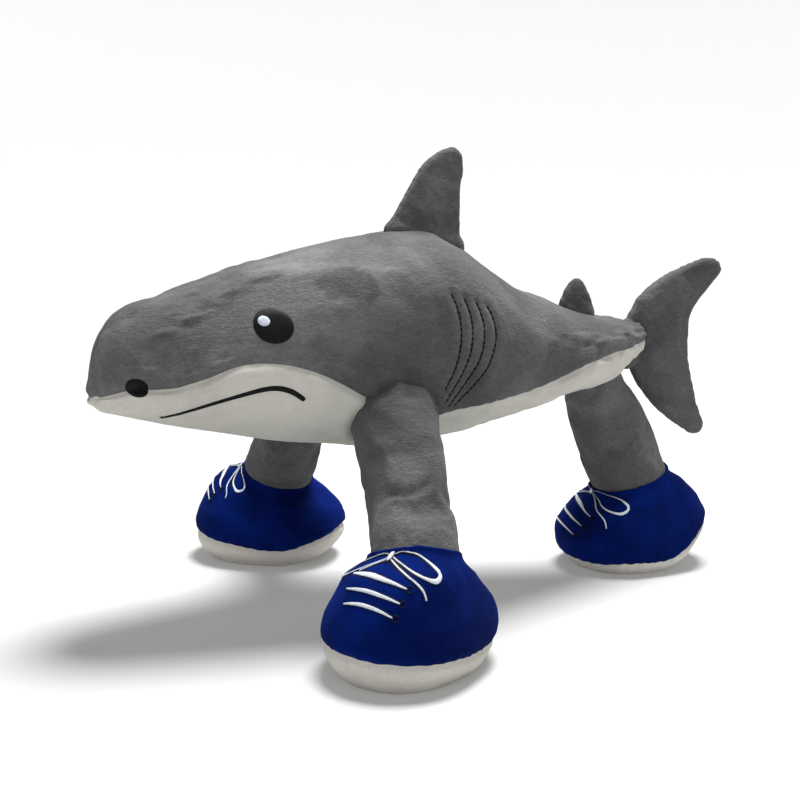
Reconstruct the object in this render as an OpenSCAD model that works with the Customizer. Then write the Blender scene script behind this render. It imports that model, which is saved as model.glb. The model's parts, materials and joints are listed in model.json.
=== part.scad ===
// Plush shark that stands on three stuffed legs, each in a soft laced shoe.
// X runs from the nose (-X) to the tail (+X), Y runs across the body with the
// shark's left at -Y, and Z runs up from the floor. The origin is on the floor
// in the middle of the toy's length.

/* [Fabric] */
// Thickness of the plush fabric of the body and legs
fabric_t = 1.5; // [1:0.1:1.8]
// Slot at each sewn edge, where two panels turn in
seam_gap = 0.3; // [0.2:0.1:0.6]
// Air between a cover and its stuffing
ease = 0.1; // [0.05:0.05:0.2]

/* [Body] */
// How square the body's cross-section is, where 2 is an ellipse
squareness = 2.15; // [2:0.05:2.3]

/* [Legs] */
// Radius of every leg
leg_r = 19.5; // [18:0.5:20]
// Radius of the opening at each end of a leg's sleeve
sleeve_opening_r = 8; // [4:1:12]
// Height of every ankle's centre
ankle_z = 47; // [46:0.5:48]
// Distance of a front ankle from the middle of the body
front_ankle_y = 93; // [88:1:98]
// Angle that the front toes turn out
toe_out = 34; // [0:1:45]

/* [Shoes] */
// Thickness of the sole
sole_t = 12; // [10:1:14]
// Thickness of the shoe's fabric
shoe_fabric_t = 1.5; // [1:0.1:1.8]
// Clearance around the rounded foot of a leg in its shoe
ankle_clearance = 0.7; // [0.5:0.1:0.9]

/* [Embroidery] */
// How far the thread stands out from the fabric
thread_t = 0.8; // [0.5:0.1:1.2]
// Width of a gill line
gill_w = 1.2; // [0.8:0.1:1.6]
// Width of a lace
lace_w = 1.6; // [1.2:0.1:1.8]

/* [Hidden] */
$fn = 64;

// Colours
plush_grey = [0.42, 0.42, 0.42];
plush_white = [0.86, 0.84, 0.79];
shoe_blue = [0.03, 0.09, 0.5];
thread_black = [0.04, 0.04, 0.04];
thread_white = [0.95, 0.95, 0.95];
fibre_white = [0.97, 0.97, 0.95];

// Stations along the body: place along X, top, bottom, half width, where the
// section is widest as a part of its height, and the angle of the colour seam
// up (+) or down (-) from the widest line
TORSO = [
    [-178, 116, 110, 3, 0.45, -16],
    [-174, 134, 105, 18, 0.42, -13],
    [-165, 149, 102, 27, 0.42, -10],
    [-146, 159, 97, 35, 0.42, -8],
    [-118, 168, 91, 42, 0.43, 5],
    [-83, 177, 84, 49, 0.45, -3],
    [-43, 184, 81, 53, 0.46, -32],
    [-10, 185, 83, 53, 0.46, -36],
    [16, 172, 87, 48, 0.46, -33],
    [44, 155, 92, 40, 0.47, -22],
    [78, 144, 99, 30, 0.48, -2],
    [102, 139.5, 107, 21, 0.5, -1],
    [116, 136, 115.5, 13.5, 0.5, -5]
];
TORSO_STEPS = 24;
BACK_COLUMNS = 9;
BELLY_COLUMNS = 12;
torso_middle = (TORSO[0][0] + TORSO[len(TORSO) - 1][0]) / 2;
torso_half = TORSO[len(TORSO) - 1][0] - torso_middle;

// Stations up each fin: height, front edge, rear edge, half thickness
DORSAL = [
    [184, -31, 11, 6.2],
    [192, -26, 11, 6],
    [200, -21.5, 11, 5.7],
    [210, -16, 11.3, 5.1],
    [218, -10.3, 13, 4.4],
    [224, -3.4, 12.4, 3.5],
    [226.5, 2, 9.5, 2.5]
];
REAR_DORSAL = [
    [144, 70.5, 92.5, 4.6],
    [151, 72.7, 89.8, 4.3],
    [156.7, 75.5, 86.8, 3.6],
    [160, 78.8, 83.6, 2.4]
];
TAIL = [
    [69.4, 159, 165, 2.5],
    [72, 155, 168.5, 3.4],
    [76, 149, 169.3, 4],
    [84, 137.5, 164.5, 5],
    [95, 126, 160.5, 5.8],
    [106, 118, 157.4, 6.4],
    [116, 116.8, 155.3, 6.8],
    [128, 116.8, 155, 6.8],
    [138, 116.8, 156.5, 6.6],
    [146, 119, 162.5, 6],
    [154, 127.8, 170, 5.2],
    [160, 139.5, 176.3, 4.4],
    [165, 152.5, 177.5, 3.6],
    [168.6, 163, 173, 2.5]
];
FIN_COLUMNS = 8;
DORSAL_STEPS = 12;
REAR_DORSAL_STEPS = 6;
TAIL_STEPS = 20;
// Angle from a fin's edge to where its panel starts
fin_slot = 3;
// Slope of a fin's lower edge, which lets it lean over the back
fin_relief = 0.28;
fin_clearance = 0.5;

// Levels up each shoe: height, toe end, heel end, half width
SHOE = [
    [0, -38, 29, 26],
    [3, -41.5, 33, 29.5],
    [7, -44.5, 35.5, 32],
    [12, -46.5, 37.5, 33.8],
    [19, -48, 38.5, 35],
    [28, -47.5, 38, 34],
    [34, -45, 34.5, 31],
    [40, -39.5, 30, 28],
    [45, -31, 25.5, 24],
    [49, -24.4, 23, 23]
];
SHOE_RING = 24;
SOLE_LEVELS = 3;
BOWL_RINGS = 4;
shoe_squareness = 2.3;
// The collar slopes from this height up
collar_bend_z = 28;
// The hollow for the leg's rounded end: its radius, and the angles of its rim
// and its lowest ring below the collar's plane
bowl_r = leg_r + ankle_clearance;
bowl_rim = 12;
bowl_base = 88;

// Legs: hip centre, ankle centre, turn of the toe, how far the shoe's bottom
// sits behind the ankle, slope of the collar along and across the shoe, and
// slope of the whole top down towards the toe
FRONT_LEFT = [[-55, -67.6, 101.6], [-57, -front_ankle_y, ankle_z], toe_out, 0, [-0.27, -0.18], 0];
FRONT_RIGHT = [[-55, 67.6, 101.6], [-57, front_ankle_y, ankle_z], -toe_out, 0, [-0.27, 0.18], 0];
REAR = [[100.9, 0, 85.3], [119, 0, ankle_z], 0, 7, [0.1, 0], 0.18];

// Embroidery, drawn on the side view: X and height
eye_at = [-102.5, 145.3];
eye_size = [9, 7.6];
eye_tilt = -25;
glint_at = [-106.3, 147.2];
glint_size = [2.7, 2.1];
nostril_at = [-161.6, 119.4];
nostril_size = [4.9, 4.1];
MOUTH = [
    [-151, 104.4, 0.8],
    [-136, 109.4, 1.5],
    [-119, 114.1, 2],
    [-106, 117, 2.5],
    [-97, 115.6, 2.8],
    [-90, 110.7, 2.6]
];
MOUTH_STEPS = 14;
// Gill lines, each by its top, the point it bows towards and its bottom
GILLS = [
    [[-18, 157.9], [-10, 138.4], [-22.7, 112.6]],
    [[-11.6, 155.8], [-2.5, 134.5], [-22.4, 104.6]],
    [[-5.2, 153.7], [5.5, 133.5], [-19.6, 103.4]],
    [[1.2, 151.6], [13.5, 131.5], [-15.5, 103.6]]
];
GILL_STEPS = 8;
// Laces, drawn on the front of the shoe: distance round it from the toe line,
// and height
// Bars: half length, height in the middle, and drop to the ends
LACE_BARS = [[13.5, 42.4, 3.5], [12, 38, 3.6], [10, 33.6, 3.4]];
lace_bar_taper = 0.5;
// Width of the bow's strokes as a part of the bars' width
bow_width = 0.8;
knot_at = [0, 46.8];
knot_size = [1.7, 1.3];
BOW = [[3.6, 47.3], [10, 47.7], [18, 46.5], [25, 44.2], [28, 41.6], [25, 40]];
LACE_END = [[3.8, 45], [10, 43.2], [15.8, 40.8], [19.2, 37.6], [20.6, 34.4]];
LACE_STEPS = 2;
outline_w = 1;

// ---- Curves and grids ----

function mix(a, b, t) = a + (b - a) * t;

function signed_pow(v, e) = sign(v) * pow(abs(v), e);

// Smooth curve through the rows of a table, where u counts rows
function curve(rows, u) =
    let (
        i = min(floor(u), len(rows) - 2),
        f = u - i,
        a = rows[max(i - 1, 0)],
        b = rows[i],
        c = rows[i + 1],
        d = rows[min(i + 2, len(rows) - 1)]
    )
    0.5 * (2 * b + (c - a) * f
        + (2 * a - 5 * b + 4 * c - d) * f * f
        + (3 * b - a - 3 * c + d) * f * f * f);

// Row number at which a table's first column reaches a value
function row_at(rows, value, low, high, turns = 16) =
    let (u = (low + high) / 2)
    turns == 0 ? u
        : curve(rows, u)[0] < value ? row_at(rows, value, u, high, turns - 1)
        : row_at(rows, value, low, u, turns - 1);

// A table resampled to an even number of rows
function resample(rows, steps) =
    [for (i = [0:steps]) curve(rows, (len(rows) - 1) * i / steps)];

function quad(a, b, c, d) = [[a, b, c], [a, c, d]];

// Solid between two grids of points that have the same rows and columns
module sheet(outer, inner) {
    rows = len(outer);
    columns = len(outer[0]);
    count = rows * columns;
    points = concat([for (row = outer) each row], [for (row = inner) each row]);
    skins = [
        for (i = [0:rows - 2])
            for (j = [0:columns - 2])
                let (a = i * columns + j, b = a + columns)
                each concat(
                    quad(a, b, b + 1, a + 1),
                    quad(count + b + 1, count + b, count + a, count + a + 1)
                )
    ];
    edge = concat(
        [for (i = [0:rows - 1]) i * columns],
        [for (j = [1:columns - 1]) (rows - 1) * columns + j],
        [for (i = [rows - 2:-1:0]) i * columns + columns - 1],
        [for (j = [columns - 2:-1:1]) j]
    );
    walls = [
        for (k = [0:len(edge) - 1])
            let (p = edge[k], q = edge[(k + 1) % len(edge)])
            each quad(q, p, count + p, count + q)
    ];
    polyhedron(points, concat(skins, walls));
}

function ring_walls(from, to, n) = [
    for (j = [0:n - 1])
        let (k = (j + 1) % n)
        each quad(from + j, to + j, to + k, from + k)
];

// Lid over a ring, laid in strips from one side to the other
function ring_lid(start, n, turned) = [
    for (j = [0:n / 2 - 1])
        let (a = start + j, b = a + 1, c = start + n - 1 - j, d = start + (n - j) % n)
        for (face = j == 0 ? [[a, b, c]] : b == c ? [[a, c, d]] : quad(a, b, c, d))
            turned ? [for (k = [len(face) - 1:-1:0]) face[k]] : face
];

// Solid through a stack of rings, closed by a lid at each end
module ring_solid(rings) {
    n = len(rings[0]);
    last = len(rings) - 1;
    polyhedron(
        [for (ring = rings) each ring],
        concat(
            [for (i = [0:last - 1]) each ring_walls(i * n, (i + 1) * n, n)],
            ring_lid(0, n, false),
            ring_lid(last * n, n, true)
        )
    );
}

// Shell between two stacks of rings, open at the top and the bottom
module ring_shell(outer, inner) {
    n = len(outer[0]);
    last = len(outer) - 1;
    count = n * (last + 1);
    polyhedron(
        concat([for (ring = outer) each ring], [for (ring = inner) each ring]),
        concat(
            [for (i = [0:last - 1]) each ring_walls(i * n, (i + 1) * n, n)],
            [for (i = [0:last - 1])
                for (face = ring_walls(count + i * n, count + (i + 1) * n, n))
                    [face[2], face[1], face[0]]],
            ring_walls(last * n, count + last * n, n),
            ring_walls(count, 0, n)
        )
    );
}

// ---- Body ----

function torso_point(u, v, inset) =
    let (
        row = curve(TORSO, u),
        top = row[1] - inset,
        bottom = row[2] + inset,
        middle = mix(bottom, top, row[4]),
        rise = signed_pow(sin(v), 2 / squareness)
    )
    [
        torso_middle + (row[0] - torso_middle) * (1 - inset / torso_half),
        -(row[3] - inset) * signed_pow(cos(v), 2 / squareness),
        middle + rise * (rise > 0 ? top - middle : middle - bottom)
    ];

// Angle that turns a small distance along the skin into degrees at row u
function skin_angle(u, distance) = distance / max(curve(TORSO, u)[3], 6) * 180 / PI;

function torso_u(i) = (len(TORSO) - 1) * i / TORSO_STEPS;

// Angles across each panel at row u, running round the body between its seams
left_back_angles = function (u, slot)
    [for (j = [0:BACK_COLUMNS]) mix(90 - slot, curve(TORSO, u)[5] + slot, j / BACK_COLUMNS)];

belly_angles = function (u, slot)
    let (seam = curve(TORSO, u)[5] - slot)
    [for (j = [0:BELLY_COLUMNS]) mix(seam, -180 - seam, j / BELLY_COLUMNS)];

right_back_angles = function (u, slot)
    let (left = left_back_angles(u, slot))
    [for (j = [BACK_COLUMNS:-1:0]) -180 - left[j]];

// Angles all round the body, in line with the panels' columns
body_angles = function (u, slot)
    concat(
        [for (j = [0:BACK_COLUMNS - 1]) left_back_angles(u, slot)[j]],
        [for (j = [0:BELLY_COLUMNS - 1]) belly_angles(u, slot)[j]],
        [for (j = [0:BACK_COLUMNS - 1]) right_back_angles(u, slot)[j]]
    );

function body_grid(angles, slot, inset) = [
    for (i = [0:TORSO_STEPS])
        let (u = torso_u(i))
        [for (v = angles(u, skin_angle(u, slot))) torso_point(u, v, inset)]
];

module body_panel(angles) {
    slot = seam_gap / 2;
    sheet(body_grid(angles, slot, 0), body_grid(angles, slot, fabric_t));
}

module back_panel_left() {
    color(plush_grey) body_panel(left_back_angles);
}

module back_panel_right() {
    color(plush_grey) body_panel(right_back_angles);
}

module belly_panel() {
    color(plush_white) body_panel(belly_angles);
}

module body_stuffing() {
    color(fibre_white) ring_solid(body_grid(body_angles, 0, fabric_t + ease));
}

module on_both_sides(side) {
    mirror([0, side == "left" ? 0 : 1, 0]) children();
}

// ---- Embroidery on the body ----

// Point of the skin's left side at a place on the side view
function skin_point(place, lift) =
    let (
        row = curve(TORSO, row_at(TORSO, place[0], 0, len(TORSO) - 1)),
        top = row[1] + lift,
        bottom = row[2] - lift,
        middle = mix(bottom, top, row[4]),
        up = place[1] - middle,
        rise = up > 0 ? up / (top - middle) : -up / (middle - bottom)
    )
    [place[0], -(row[3] + lift) * pow(1 - pow(rise, squareness), 1 / squareness), place[1]];

thread_low = 0.25;
thread_high = thread_low + thread_t;

function oval(at, size, tilt, scale, n = 16) = [
    for (j = [0:n - 1])
        let (a = 360 * j / n, p = [size[0] * cos(a), size[1] * sin(a)] * scale)
        at + [p[0] * cos(tilt) - p[1] * sin(tilt), p[0] * sin(tilt) + p[1] * cos(tilt)]
];

// Rings of a filled oval of thread, from the middle of its underside round to
// the middle of its dome: part of the oval's size, and part of the thread's height
SATIN_RINGS = [[0.05, 0], [0.55, 0], [1, 0], [1, 0.6], [0.6, 1], [0.05, 1]];

module satin_oval(at, size, tilt, cloth, low, high) {
    ring_solid([
        for (ring = SATIN_RINGS)
            [for (p = oval(at, size, tilt, ring[0])) cloth(p, mix(low, high, ring[1]))]
    ]);
}

// Stroke of thread along a path of [across, up, width] on a cloth
module stroke(path, cloth, low, high) {
    last = len(path) - 1;
    ring_solid([
        for (k = [0:last])
            let (
                step = path[min(k + 1, last)] - path[max(k - 1, 0)],
                length = norm([step[0], step[1]]),
                side = [-step[1], step[0]] / length * path[k][2] / 2,
                at = [path[k][0], path[k][1]]
            )
            [
                cloth(at - side, low),
                cloth(at + side, low),
                cloth(at + side, high),
                cloth(at - side, high)
            ]
    ]);
}

skin = function (place, lift) skin_point(place, lift);

module eye() {
    color(thread_black) satin_oval(eye_at, eye_size, eye_tilt, skin, thread_low, thread_high);
}

module eye_glint() {
    low = thread_high + thread_low;
    color(thread_white) satin_oval(glint_at, glint_size, eye_tilt, skin, low, thread_high + thread_t);
}

module nostril() {
    color(thread_black) satin_oval(nostril_at, nostril_size, 0, skin, thread_low, thread_high);
}

module mouth_line() {
    color(thread_black) stroke(resample(MOUTH, MOUTH_STEPS), skin, thread_low, thread_high);
}

module gill_lines() {
    color(thread_black)
        for (gill = GILLS)
            stroke(
                [for (i = [0:GILL_STEPS])
                    let (
                        t = i / GILL_STEPS,
                        p = mix(mix(gill[0], gill[1], t), mix(gill[1], gill[2], t), t)
                    )
                    [p[0], p[1], gill_w]],
                skin, thread_low, thread_high
            );
}

// ---- Fins ----

function back_height(x) = curve(TORSO, row_at(TORSO, x, 0, len(TORSO) - 1))[1];

// Height of a fin point once its lowest station is laid along the back
function laid_height(rows, z, x, y) =
    let (
        base = back_height(x) + fin_clearance + fin_relief * abs(y),
        low = rows[0][0],
        tip = rows[len(rows) - 1][0]
    )
    base + (z - low) * (tip - base) / (tip - low);

// Points of a fin at one station, at the given angles round it
function fin_arc(rows, u, inset, angles, laid) =
    let (
        row = curve(rows, u),
        centre = (row[1] + row[2]) / 2,
        chord = (row[2] - row[1]) / 2 - inset,
        depth = row[3] - inset
    )
    [for (a = angles)
        let (x = centre + chord * cos(a), y = depth * sin(a))
        [x, y, laid ? laid_height(rows, row[0], x, y) : row[0]]];

function fin_grid(rows, steps, inset, angles, laid) =
    [for (i = [0:steps]) fin_arc(rows, (len(rows) - 1) * i / steps, inset, angles, laid)];

// Angles across one side of a fin, from its rear edge or from its front edge
function side_angles(edge) =
    [for (j = [0:FIN_COLUMNS]) mix(edge + fin_slot, edge + 180 - fin_slot, j / FIN_COLUMNS)];

// Fabric panel on the left side of a fin
module fin_panel(rows, steps, laid) {
    angles = side_angles(180);
    color(plush_grey)
        sheet(fin_grid(rows, steps, 0, angles, laid), fin_grid(rows, steps, fabric_t, angles, laid));
}

module fin_stuffing(rows, steps, laid) {
    angles = concat([0], side_angles(0), [180], side_angles(180));
    color(fibre_white) ring_solid(fin_grid(rows, steps, fabric_t + ease, angles, laid));
}

module dorsal_panel() {
    fin_panel(DORSAL, DORSAL_STEPS, true);
}

module rear_dorsal_panel() {
    fin_panel(REAR_DORSAL, REAR_DORSAL_STEPS, true);
}

module tail_panel() {
    fin_panel(TAIL, TAIL_STEPS, false);
}

// ---- Legs ----

// Half of a capsule's outline, from the ankle at the origin to the hip
module capsule_outline(radius, length, opening) {
    difference() {
        union() {
            circle(radius);
            translate([0, length]) circle(radius);
            translate([-radius, 0]) square([2 * radius, length]);
        }
        translate([-2 * radius, -2 * radius]) square([2 * radius + opening, length + 4 * radius]);
    }
}

module along_leg(leg) {
    axis = leg[0] - leg[1];
    translate(leg[1])
        rotate([0, acos(axis[2] / norm(axis)), atan2(axis[1], axis[0])])
            rotate_extrude() children();
}

module leg_sleeve(leg) {
    length = norm(leg[0] - leg[1]);
    color(plush_grey)
        along_leg(leg)
            difference() {
                capsule_outline(leg_r, length, sleeve_opening_r);
                capsule_outline(leg_r - fabric_t, length, 0);
            }
}

module leg_stuffing(leg) {
    color(fibre_white)
        along_leg(leg)
            capsule_outline(leg_r - fabric_t - ease, norm(leg[0] - leg[1]), 0);
}

// ---- Shoes ----

// Whole slope of the collar in the shoe's own frame
function collar_slope(leg) = leg[4] + [leg[5], 0];

// Point of a shoe in its own frame, with the toe at -X and the ankle above the origin
function shoe_point(leg, row, a, inset) =
    let (
        collar_z = SHOE[len(SHOE) - 1][0],
        bend = max(0, (row[0] - collar_bend_z) / (collar_z - collar_bend_z)),
        tip = leg[5] * min(1, row[0] / collar_bend_z),
        middle = (row[1] + row[2]) / 2 + leg[3] * (1 - pow(row[0] / collar_z, 2)),
        half = (row[2] - row[1]) / 2 - inset,
        x = middle + half * signed_pow(cos(a), 2 / shoe_squareness),
        y = (row[3] - inset) * signed_pow(sin(a), 2 / shoe_squareness)
    )
    [x, y, row[0] + tip * x + bend * bend * (leg[4] * [x, y])];

function shoe_ring(leg, row, inset) =
    [for (j = [0:SHOE_RING - 1]) shoe_point(leg, row, 360 * j / SHOE_RING, inset)];

// Ring of the rounded hollow that the leg's end turns in, from its rim down
function bowl_ring(leg, k) =
    let (
        slope = collar_slope(leg),
        up = [-slope[0], -slope[1], 1] / norm([slope[0], slope[1], 1]),
        side = cross([0, 1, 0], up) / norm(cross([0, 1, 0], up)),
        across = cross(up, side),
        down = mix(bowl_rim, bowl_base, k / BOWL_RINGS)
    )
    [for (j = [0:SHOE_RING - 1])
        let (a = 360 * j / SHOE_RING)
        [0, 0, ankle_z] + bowl_r * (cos(down) * (cos(a) * side + sin(a) * across) - sin(down) * up)];

// Rows of the shoe's upper, whose lowest row sits just above the sole
function upper_rows() =
    let (low = SHOE[SOLE_LEVELS])
    concat(
        [[sole_t + ease, low[1], low[2], low[3]]],
        [for (i = [SOLE_LEVELS + 1:len(SHOE) - 1]) SHOE[i]]
    );

module at_foot(leg) {
    translate([leg[1][0], leg[1][1], 0]) rotate([0, 0, leg[2]]) children();
}

module shoe_sole(leg) {
    tall = sole_t / SHOE[SOLE_LEVELS][0];
    color(plush_white)
        at_foot(leg)
            ring_solid([
                for (i = [0:SOLE_LEVELS])
                    let (row = SHOE[i])
                    shoe_ring(leg, [row[0] * tall, row[1], row[2], row[3]], 0)
            ]);
}

module shoe_upper(leg) {
    color(shoe_blue)
        at_foot(leg)
            ring_shell(
                [for (row = upper_rows()) shoe_ring(leg, row, 0)],
                [for (row = upper_rows()) shoe_ring(leg, row, shoe_fabric_t)]
            );
}

module shoe_stuffing(leg) {
    rows = upper_rows();
    color(fibre_white)
        at_foot(leg)
            ring_solid(concat(
                [for (i = [0:len(rows) - 2]) shoe_ring(leg, rows[i], shoe_fabric_t + ease)],
                [for (k = [0:BOWL_RINGS]) bowl_ring(leg, k)]
            ));
}

// Point on the front of a shoe: distance round it from the toe line, and height
function shoe_skin_point(leg, place, lift) =
    let (
        row = curve(SHOE, row_at(SHOE, place[1], 0, len(SHOE) - 1)),
        a = 180 + place[0] / row[3] * 180 / PI
    )
    shoe_point(leg, row, a, -lift);

function mirrored(path) = [for (p = path) [-p[0], p[1]]];

function smooth_path(path, width) =
    [for (p = resample(path, LACE_STEPS * (len(path) - 1))) [p[0], p[1], width]];

// Bar of lacing across the shoe, bowed and thinner towards its ends
function lace_bar(bar, width) =
    [for (s = [-1:0.25:1])
        [bar[0] * s, bar[1] - bar[2] * s * s, width * (1 - lace_bar_taper * abs(s))]];

// Every stroke of the lacing, at one width
function lace_strokes(width) = concat(
    [for (bar = LACE_BARS) lace_bar(bar, width)],
    [for (path = [BOW, mirrored(BOW), LACE_END, mirrored(LACE_END)])
        smooth_path(path, width * bow_width)]
);

module lacing(leg, grow, low, high) {
    cloth = function (place, lift) shoe_skin_point(leg, place, lift);
    at_foot(leg) {
        for (path = lace_strokes(lace_w + grow)) stroke(path, cloth, low, high);
        satin_oval(knot_at, knot_size + [grow, grow] / 2, 0, cloth, low, high);
    }
}

module lace(leg) {
    color(thread_white) lacing(leg, 0, thread_high, thread_high + thread_t / 2);
}

module lace_outline(leg) {
    color(thread_black) lacing(leg, outline_w, thread_low, thread_high - thread_low);
}

back_panel_left();
back_panel_right();
belly_panel();
body_stuffing();
on_both_sides("left") eye();  // eye_left
on_both_sides("right") eye();  // eye_right
on_both_sides("left") eye_glint();  // eye_glint_left
on_both_sides("right") eye_glint();  // eye_glint_right
on_both_sides("left") nostril();  // nostril_left
on_both_sides("right") nostril();  // nostril_right
union() {  // mouth_embroidery
    on_both_sides("left") mouth_line();
    on_both_sides("right") mouth_line();
}
on_both_sides("left") gill_lines();  // gill_stitches_left
on_both_sides("right") gill_lines();  // gill_stitches_right
on_both_sides("left") dorsal_panel();  // dorsal_fin_left_panel
on_both_sides("right") dorsal_panel();  // dorsal_fin_right_panel
fin_stuffing(DORSAL, DORSAL_STEPS, true);  // dorsal_fin_stuffing
on_both_sides("left") rear_dorsal_panel();  // rear_dorsal_left_panel
on_both_sides("right") rear_dorsal_panel();  // rear_dorsal_right_panel
fin_stuffing(REAR_DORSAL, REAR_DORSAL_STEPS, true);  // rear_dorsal_stuffing
on_both_sides("left") tail_panel();  // tail_fin_left_panel
on_both_sides("right") tail_panel();  // tail_fin_right_panel
fin_stuffing(TAIL, TAIL_STEPS, false);  // tail_fin_stuffing
leg_sleeve(FRONT_LEFT);  // front_left_leg_sleeve
leg_stuffing(FRONT_LEFT);  // front_left_leg_stuffing
shoe_upper(FRONT_LEFT);  // front_left_shoe_upper
shoe_sole(FRONT_LEFT);  // front_left_shoe_sole
shoe_stuffing(FRONT_LEFT);  // front_left_shoe_stuffing
lace(FRONT_LEFT);  // front_left_lace
lace_outline(FRONT_LEFT);  // front_left_lace_outline
leg_sleeve(FRONT_RIGHT);  // front_right_leg_sleeve
leg_stuffing(FRONT_RIGHT);  // front_right_leg_stuffing
shoe_upper(FRONT_RIGHT);  // front_right_shoe_upper
shoe_sole(FRONT_RIGHT);  // front_right_shoe_sole
shoe_stuffing(FRONT_RIGHT);  // front_right_shoe_stuffing
lace(FRONT_RIGHT);  // front_right_lace
lace_outline(FRONT_RIGHT);  // front_right_lace_outline
leg_sleeve(REAR);  // rear_leg_sleeve
leg_stuffing(REAR);  // rear_leg_stuffing
shoe_upper(REAR);  // rear_shoe_upper
shoe_sole(REAR);  // rear_shoe_sole
shoe_stuffing(REAR);  // rear_shoe_stuffing
lace(REAR);  // rear_lace
lace_outline(REAR);  // rear_lace_outline
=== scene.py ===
"""Looks of the three-legged plush shark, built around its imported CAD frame.

The covers of the body, fins and legs are drawn around their CAD fillings, and those of
the shoes around the CAD shoes. Everything is in metres and in the frame's own axes.
"""

import json
import math

import bmesh
import bpy
import numpy as np
from mathutils import Matrix, Vector
from mathutils.bvhtree import BVHTree


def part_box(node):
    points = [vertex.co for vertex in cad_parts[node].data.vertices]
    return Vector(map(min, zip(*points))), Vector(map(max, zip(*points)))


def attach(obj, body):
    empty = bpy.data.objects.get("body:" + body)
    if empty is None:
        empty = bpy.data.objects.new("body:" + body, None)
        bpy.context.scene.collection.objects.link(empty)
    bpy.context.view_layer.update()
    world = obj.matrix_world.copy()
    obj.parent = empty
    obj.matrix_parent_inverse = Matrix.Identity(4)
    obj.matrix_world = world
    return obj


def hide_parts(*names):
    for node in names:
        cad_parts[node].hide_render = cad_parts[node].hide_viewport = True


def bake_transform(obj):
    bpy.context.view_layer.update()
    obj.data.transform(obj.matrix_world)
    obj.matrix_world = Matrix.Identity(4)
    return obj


MM = 0.001

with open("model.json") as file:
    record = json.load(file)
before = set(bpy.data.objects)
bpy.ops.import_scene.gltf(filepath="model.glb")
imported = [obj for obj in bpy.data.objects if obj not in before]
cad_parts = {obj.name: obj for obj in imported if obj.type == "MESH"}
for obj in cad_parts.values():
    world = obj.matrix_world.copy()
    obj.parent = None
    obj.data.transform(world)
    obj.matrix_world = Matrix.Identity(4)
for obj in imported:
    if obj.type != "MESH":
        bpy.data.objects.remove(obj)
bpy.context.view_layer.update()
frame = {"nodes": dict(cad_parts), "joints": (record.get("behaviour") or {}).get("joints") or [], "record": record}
SLOTS = {part["node"]: part["material_slot"] for part in frame["record"]["subparts"]}
JOINTS = {joint["name"]: joint for joint in frame["joints"]}
BODY_OF = {
    node: body
    for body, nodes in frame["record"]["behaviour"]["bodies"].items()
    for node in nodes
}
SIDES = {"left": -1, "right": 1}
LEGS = ("front_left", "front_right", "rear")

# How far a cover stands out from its filling
COVER = 1.6 * MM
# Columns of the body's filling across each back panel
BACK_COLUMNS = 9


# ---- Curves and random fields ----


def unit(vectors):
    return vectors / np.linalg.norm(vectors, axis=-1, keepdims=True)


def smooth_table(table, steps, closed=False):
    """Smooth curve through the rows of a table, with some steps between each two rows."""
    rows = len(table)
    u = np.arange(rows * steps if closed else (rows - 1) * steps + 1) / steps
    i = np.minimum(u.astype(int), rows - 1 if closed else rows - 2)
    f = (u - i).reshape(-1, *[1] * (table.ndim - 1))
    wrap = (lambda k: k % rows) if closed else (lambda k: np.clip(k, 0, rows - 1))
    a, b, c, d = (table[wrap(i + k)] for k in (-1, 0, 1, 2))
    return 0.5 * (
        2 * b
        + (c - a) * f
        + (2 * a - 5 * b + 4 * c - d) * f**2
        + (3 * b - a - 3 * c + d) * f**3
    )


def path_points(path, count):
    """Points at even distances along a smooth curve through a path's points."""
    dense = smooth_table(np.array(path, float), 24)
    run = np.insert(np.cumsum(np.linalg.norm(np.diff(dense[:, :2], axis=0), axis=1)), 0, 0)
    at = np.linspace(0, run[-1], count)
    return np.stack([np.interp(at, run, column) for column in dense.T], axis=1)


def lumps(points, size, seed):
    """Smooth random field from -1 to 1, whose lumps are about size across."""
    table = np.random.default_rng(seed).uniform(-1, 1, 4096)
    p = np.asarray(points) / size
    cell = np.floor(p).astype(np.int64)
    f = p - cell
    f = f * f * (3 - 2 * f)
    total = np.zeros(p.shape[:-1])
    for corner in np.ndindex(2, 2, 2):
        c = cell + np.array(corner)
        key = (c[..., 0] * 73856093) ^ (c[..., 1] * 19349663) ^ (c[..., 2] * 83492791)
        total += table[key % 4096] * np.prod(np.where(corner, f, 1 - f), axis=-1)
    return total


def ridge(distance, width):
    """1 at no distance, falling smoothly to 0 over about twice the width."""
    return np.exp(-((distance / width) ** 2))


def ramp(value, low, high):
    t = np.clip((value - low) / (high - low), 0, 1)
    return t * t * (3 - 2 * t)


def axis_distance(points, a, b):
    """Distance of points from the line between a and b."""
    a, b = np.array(a), np.array(b)
    t = np.clip(((points - a) @ (b - a)) / ((b - a) @ (b - a)), 0, 1)
    return np.linalg.norm(points - a - t[..., None] * (b - a), axis=-1)


# ---- Meshes ----


def add_object(name, vertices, faces, inside=None):
    """A mesh object, whose faces are turned to look away from the point inside."""
    mesh = bpy.data.meshes.new(name)
    mesh.from_pydata([tuple(v) for v in vertices], [], [tuple(f) for f in faces])
    if inside is not None:
        looks = sum((f.center - Vector(inside)).dot(f.normal) * f.area for f in mesh.polygons)
        if looks < 0:
            mesh.flip_normals()
    return add_mesh(name, mesh)


def add_mesh(name, mesh):
    mesh.polygons.foreach_set("use_smooth", np.ones(len(mesh.polygons), bool))
    obj = bpy.data.objects.new(name, mesh)
    bpy.context.scene.collection.objects.link(obj)
    return obj


def points_of(mesh):
    co = np.empty(len(mesh.vertices) * 3, np.float32)
    mesh.vertices.foreach_get("co", co)
    return co.reshape(-1, 3).astype(float)


def move_points(obj, points):
    obj.data.vertices.foreach_set("co", np.asarray(points, np.float32).ravel())
    obj.data.update()


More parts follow.
